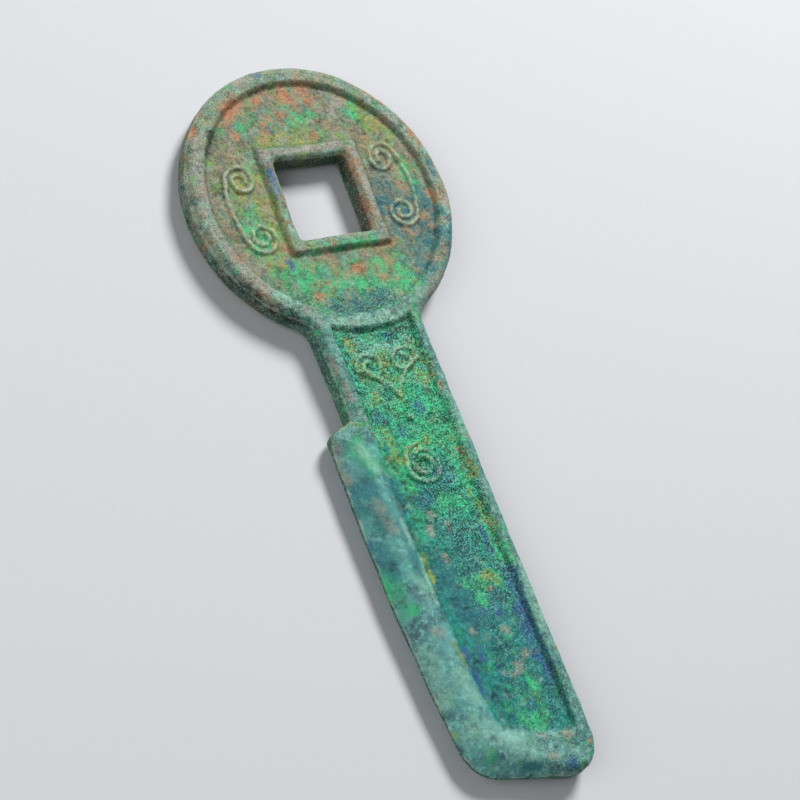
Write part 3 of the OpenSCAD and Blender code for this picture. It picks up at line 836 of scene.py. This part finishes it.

# Mineral growths. Patches of copper minerals that grew on the front while the coin lay in the soil, and
# soot patches that are partly painted shade: each follows a short line, given by its ends, and fades over
# a reach, all in millimetres.
growths = {
    "teal": [
        (7, -1, 8.2, -5, 2.2), (10.2, -3.6, 8.4, -8, 2.8), (-3, -11.4, 2, -11.6, 1.2),
        (13, -5, 11, -9.3, 0.8),
        (-8.5, -29, -7.5, -33, 1.6), (-9.2, -35, -8.6, -37, 1.2), (-6, -36, -6.4, -38, 0.8),
        (-0.6, -35, -0.6, -38, 2.0), (-3.6, -38, -2.6, -44, 1.4), (0.5, -29.5, -2.5, -31.5, 1.2),
        (13.3, 2, 13.2, 0, 0.4), (-5.3, -29, -5.6, -32, 0.8), (-3.6, -57.6, -2, -58, 0.45)],
    "malachite": [
        (-5.5, -8.2, 0, -9.6, 2.2), (0.4, -8.4, 4.4, -8.8, 2.0), (3.5, -9.2, 6, -10, 1.4),
        (-9, -1, -7.5, -6, 1.5), (-6.2, 9, -6, 8.4, 0.6), (-0.3, 8.2, 2.2, 8.8, 0.7),
        (7.2, 9, 7.0, 8, 0.8), (-6.2, 4.2, -6.3, 3.4, 0.7), (-3.6, -5.2, 3.2, -5.4, 0.7),
        (10.3, 2, 10.6, 0, 0.8), (-0.8, -20.3, 0.5, -20.6, 0.9),
        (3.3, -20.4, 3.4, -21.6, 0.6), (-1.2, -22.9, 3.2, -23.1, 1.0), (0, -25.5, 3, -26.6, 1.4),
        (-2.2, -26, -0.6, -27.4, 1.0), (-4.2, -23, -4, -23.6, 0.6), (-3.4, -29, -3.2, -30.6, 0.7),
        (2.4, -30.5, 2.6, -31.5, 0.8), (-0.4, -32.4, 1.6, -33, 1.0), (2.8, -34.2, 3.3, -39, 0.7),
        (-1.4, -40, 1.2, -40.3, 1.1), (-1, -41.9, -0.8, -42.6, 0.8), (-9.7, -37.7, -9.5, -38.9, 1.1),
        (-8.6, -40.6, -8.2, -41.2, 0.6), (-1.4, -53.7, 0.4, -54.4, 0.8), (0.6, -50.2, 0.8, -51, 0.6),
        (-6.6, -55.4, -6.4, -55.6, 0.6), (-7.6, -25, -6.6, -27, 1.0)],
    "verdigris": [
        (-4, -13.1, 3, -13.3, 1.0), (13, -4, 11.6, -7.6, 0.7), (-10.4, -7.6, -7.2, -10.8, 0.6),
        (-3.4, -15.9, 1.4, -16.5, 0.9), (-4.9, -1.5, -4.8, -5, 0.6), (-6.4, -48, -6, -50, 1.2),
        (-8.8, -45, -8.6, -50, 0.9), (-7, -53, -3, -56, 1.5), (-6.6, -38.4, -6.4, -40, 0.9),
        (-7.2, -25.5, -6.4, -27.5, 0.8), (-5.8, -31, -5.7, -41, 0.4), (5, -23, 4.6, -26, 0.8),
        (4.7, -40, 4.4, -46, 0.8)],
    "ochre": [
        (-3.8, 6.7, 1, 6.3, 0.9), (8.2, 8, 9.8, 5.2, 1.1), (-6.3, 3, -6.5, -4, 1.1),
        (-8.4, 3, -8.8, 1.4, 0.8), (-6.6, -4.6, -7.4, -6, 0.9), (2.6, -16.6, 3.2, -20, 1.0),
        (-1.6, -17, -0.6, -19.4, 1.2), (-1.1, -21.4, -0.6, -21.5, 0.7), (-3.4, -20.4, -3.2, -21, 0.7),
        (-3.9, -15.2, -3.4, -18.6, 1.1), (2.8, -26.8, 3.4, -30.4, 0.9), (2.6, -32, 3.3, -36, 0.6),
        (-3.9, -23.6, -3.6, -27.4, 0.6), (-2.6, -26.6, 0.6, -26.2, 0.5),
        (-7.6, -22.7, -6.8, -22.9, 0.6), (-4.9, -24.4, -4.7, -25.6, 0.5), (-4.9, -36.4, -5, -39, 0.35),
        (0.2, -39.8, 1.4, -40.4, 0.6), (-5.6, -45.2, -5.3, -46.8, 0.6), (-8.8, -52.8, -8.6, -53, 0.5),
        (-8.4, -13, -7.4, -13.4, 0.6)],
    "azurite": [
        (3.2, -40.4, 2.9, -47, 0.7), (2.9, -47, 2.8, -51, 0.6), (2.4, -44, 2.3, -48.6, 0.7),
        (-4.7, -45.8, -4.6, -50.4, 0.5), (-3.2, -46.6, -3, -47, 0.8), (-0.9, -43.1, 0.4, -43.6, 0.8),
        (2.1, -35.6, 2.4, -38, 0.5), (-3.9, -22.6, -3.6, -22.8, 0.7), (0.6, -22.5, 1.2, -22.7, 0.7),
        (-2, -24.8, -1.8, -24.9, 0.6), (0.6, -29.4, 0.9, -30, 0.8), (0.4, -14.9, 0.8, -15.1, 0.6),
        (2.9, -18.8, 3, -19, 0.4), (-5, 4.4, -4.9, 0.6, 0.5), (-6.6, -5.8, -6.4, -6, 0.45),
        (-9.8, -34, -9.7, -34.4, 0.6), (0.8, -58.9, 1.6, -59, 0.5),
        (-2.6, 13.5, -1.8, 13.6, 0.35), (-2.8, -31.4, -1.8, -31.6, 0.6)],
    "blush": [
        (-11.4, 8, -13.2, 0, 0.7), (-13, -2, -10.6, -8, 1.1), (-4.4, 5.2, 3.8, 5, 0.4),
        (5.1, 4, 5, -4.6, 0.5), (-4.6, 13.2, -4, 13.4, 0.6), (-7, -11.2, -6, -12, 0.6),
        (13.2, -2, 13.2, -3, 0.6), (9.6, -10.4, 7, -12, 0.6), (-2.6, -33.2, -3.2, -34.8, 0.5),
        (-1.3, -34.4, -1.2, -35, 0.5), (-2.8, -37.2, -2.7, -37.3, 0.4), (-3.2, -44.4, -3.1, -44.5, 0.4),
        (0, -45, 0.4, -45.6, 0.5), (-0.4, -49.4, 1.4, -48, 0.7), (-7.3, -43.4, -6.6, -43.8, 0.9),
        (-9.2, -24, -9.3, -28, 0.5), (-7.8, -30.8, -7, -33.6, 0.9), (-0.9, -55.5, -0.4, -55.7, 0.5),
        (1.7, -56.1, 2.2, -56.3, 0.6), (-0.8, -57.7, 0, -57.9, 0.6), (5, -48.4, 4.9, -52, 0.5),
        (-6.3, -16, -6.2, -20.5, 0.3), (2.4, -15.6, 3, -15.9, 0.6), (5.6, 9.8, 4.8, 8.6, 0.7),
        (-2, -28.8, -1.2, -29, 0.5)],
    "cuprite": [
        (-6.6, 10.2, -5.2, 11.1, 1.0), (0.2, 11.5, 0.4, 10.6, 0.8), (2.3, 11.7, 2.5, 11.2, 0.7),
        (2.6, 10.4, 2.8, 10.2, 0.5), (-1.2, 9.5, -1, 9.3, 0.5), (-3.2, 11.3, -3, 11.2, 0.5),
        (-3.3, 8.4, -3.2, 7.8, 0.5), (1.8, 6.7, 1.9, 6.5, 0.4), (-6.8, 7.8, -6.7, 7.6, 0.5),
        (-6.2, -4.4, -6.1, -4.6, 0.6), (-4.4, -9.8, -4.2, -10.2, 0.7), (0.8, -7.7, 1.1, -8, 0.6),
        (8.6, 11.4, 11.2, 9, 0.6), (12.4, 6.6, 13.1, 4, 0.6), (-11.2, 8.4, -11, 8.8, 0.5),
        (-12, -4.4, -11.7, -5, 0.5), (4.2, -3.5, 4.3, -3.8, 0.4), (5, 2.9, 5.1, 2.5, 0.4),
        (3.4, -27.8, 3.6, -28.2, 0.5), (4.4, -26.9, 4.5, -27.2, 0.4), (0.4, -41.2, 0.6, -41.4, 0.4),
        (3, -34.6, 3.2, -35.4, 0.4), (-10, -41, -9.7, -45.4, 0.35), (-5.9, -45.2, -5.8, -45.3, 0.4),
        (4, -57.4, 4, -57.5, 0.4), (3.9, -21, 4, -21.6, 0.4), (5.2, -6.2, 5.6, -6, 0.4),
        (4.3, 4.2, 4.3, 1, 0.6), (4.3, -0.6, 4.2, -2.4, 0.5)],
    # Soot patches: partly painted shade along the foot under the head's rim, inside the rim on the upper
    # left and on the head's lower-left edge.
    "soot_and_shade": [
        (0.8, -14.7, 3.2, -14.7, 0.4), (-13, -6.1, -11, -9.2, 0.5), (-11, -9.2, -7.8, -12, 0.5),
        (-9.4, 8.2, -10.4, 6, 0.7), (3, -14.8, 3.6, -14.6, 0.5), (9.8, 4.6, 10.1, 4.2, 0.5)],
}
for mesh, points, levels, _ in cast_zones:
    on_front = np.clip(levels * 2, 0, 1)
    for mineral, patches in growths.items():
        thickness = np.zeros(len(points))
        for x0, y0, x1, y1, reach in patches:
            start, span = complex(x0, y0), complex(x1 - x0, y1 - y0)
            nearest = start + span * np.clip(((points - start) / span).real, 0, 1)
            thickness = np.maximum(thickness, np.exp(-(np.abs(points - nearest) / reach) ** 2))
        mesh.attributes.new(mineral, "FLOAT", "POINT").data.foreach_set("value", thickness * on_front)

# Cuts between the zones. The coin is one casting, so where a zone ends and the next begins they share
# their normals, and no joint shows.
places = [np.stack([points.real, points.imag, levels], 1) for _, points, levels, _ in cast_zones]
counts = [len(zone_places) for zone_places in places]
rounded = np.round(np.concatenate(places) * places_per_mm).astype(np.int64)
_, shared = np.unique(rounded, axis=0, return_inverse=True)
own_places = np.split(shared.ravel(), np.cumsum(counts)[:-1])
skin_normals = np.zeros((shared.max() + 1, 3))
for (mesh, _, _, seam_start), own in zip(cast_zones, own_places):
    faces = mesh.polygons
    normals, areas, sizes = np.zeros(len(faces) * 3), np.zeros(len(faces)), np.zeros(len(faces), int)
    faces.foreach_get("normal", normals)
    faces.foreach_get("area", areas)
    faces.foreach_get("loop_total", sizes)
    areas[seam_start:] = 0
    corners = np.zeros(len(mesh.loops), int)
    mesh.loops.foreach_get("vertex_index", corners)
    pulls = np.repeat(normals.reshape(-1, 3) * areas[:, None], sizes, axis=0)
    np.add.at(skin_normals, own[corners], pulls)
skin_normals /= np.linalg.norm(skin_normals, axis=1)[:, None]
for (mesh, _, _, _), own in zip(cast_zones, own_places):
    mesh.normals_split_custom_set_from_vertices(skin_normals[own].tolist())

# Floor: a plain sheet of matt pale paper, laid under the coin at its lowest point.
floor_z = min(v.co.z for mesh, *_ in cast_zones for v in mesh.vertices)
floor_half = 1.5
floor_corners = [(x, y, floor_z) for x, y in ((-floor_half, -floor_half), (floor_half, -floor_half),
                                              (floor_half, floor_half), (-floor_half, floor_half))]
floor_mesh = bpy.data.meshes.new("studio_floor")
floor_mesh.from_pydata(floor_corners, [], [(0, 1, 2, 3)])
floor = bpy.data.objects.new("studio_floor", floor_mesh)
bpy.context.collection.objects.link(floor)
floor_paper = bpy.data.materials.new("matt_paper")
floor_paper.use_nodes = True
paper = floor_paper.node_tree.nodes["Principled BSDF"]
paper.inputs["Base Color"].default_value = linear("#c9cacd")
paper.inputs["Roughness"].default_value = 0.9
floor_mesh.materials.append(floor_paper)
floor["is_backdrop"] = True

# Studio light: a soft key lamp beyond the head and the spine, and a broad, weaker one on the cutting
# edge's side, in pale even air.
world = bpy.data.worlds.new("studio_air")
bpy.context.scene.world = world
bpy.context.scene.view_settings.view_transform = "Standard"
world.use_nodes = True
air = world.node_tree.nodes["Background"].inputs
air["Color"].default_value = linear("#dfe3ea")
air["Strength"].default_value = 0.22
coin_middle = Vector((0.0, -0.022, 0.0))
for name, offset, size, power in (("key_softbox", (0.235, 0.285, 0.34), 0.18, 3.1),
                                  ("fill_softbox", (-0.42, 0.05, 0.28), 0.4, 1.1)):
    lamp = bpy.data.lights.new(name, "AREA")
    lamp.shape = "DISK"
    lamp.size = size
    lamp.energy = power
    holder = bpy.data.objects.new(name, lamp)
    bpy.context.collection.objects.link(holder)
    holder.location = coin_middle + Vector(offset)
    holder.rotation_euler = (-Vector(offset)).to_track_quat("-Z", "Y").to_euler()

# Camera: a long lens above the cutting edge's side, rolled so that the blade runs down to the right in a
# square picture.
eye = Vector((-109.15, -64.64, 160.37)) * MM
aim = Vector((-0.23, -21.46, 1.65)) * MM
roll = math.radians(49.83)
lens = bpy.data.cameras.new("studio_camera")
lens.lens = 93.6
lens.sensor_width = 36.0
lens.clip_start = 0.01
camera = bpy.data.objects.new("studio_camera", lens)
bpy.context.collection.objects.link(camera)
level_turn = (aim - eye).to_track_quat("-Z", "Y").to_matrix().to_4x4()
camera.matrix_world = Matrix.Translation(eye) @ level_turn @ Matrix.Rotation(roll, 4, "Z")
bpy.context.scene.camera = camera

low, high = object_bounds()
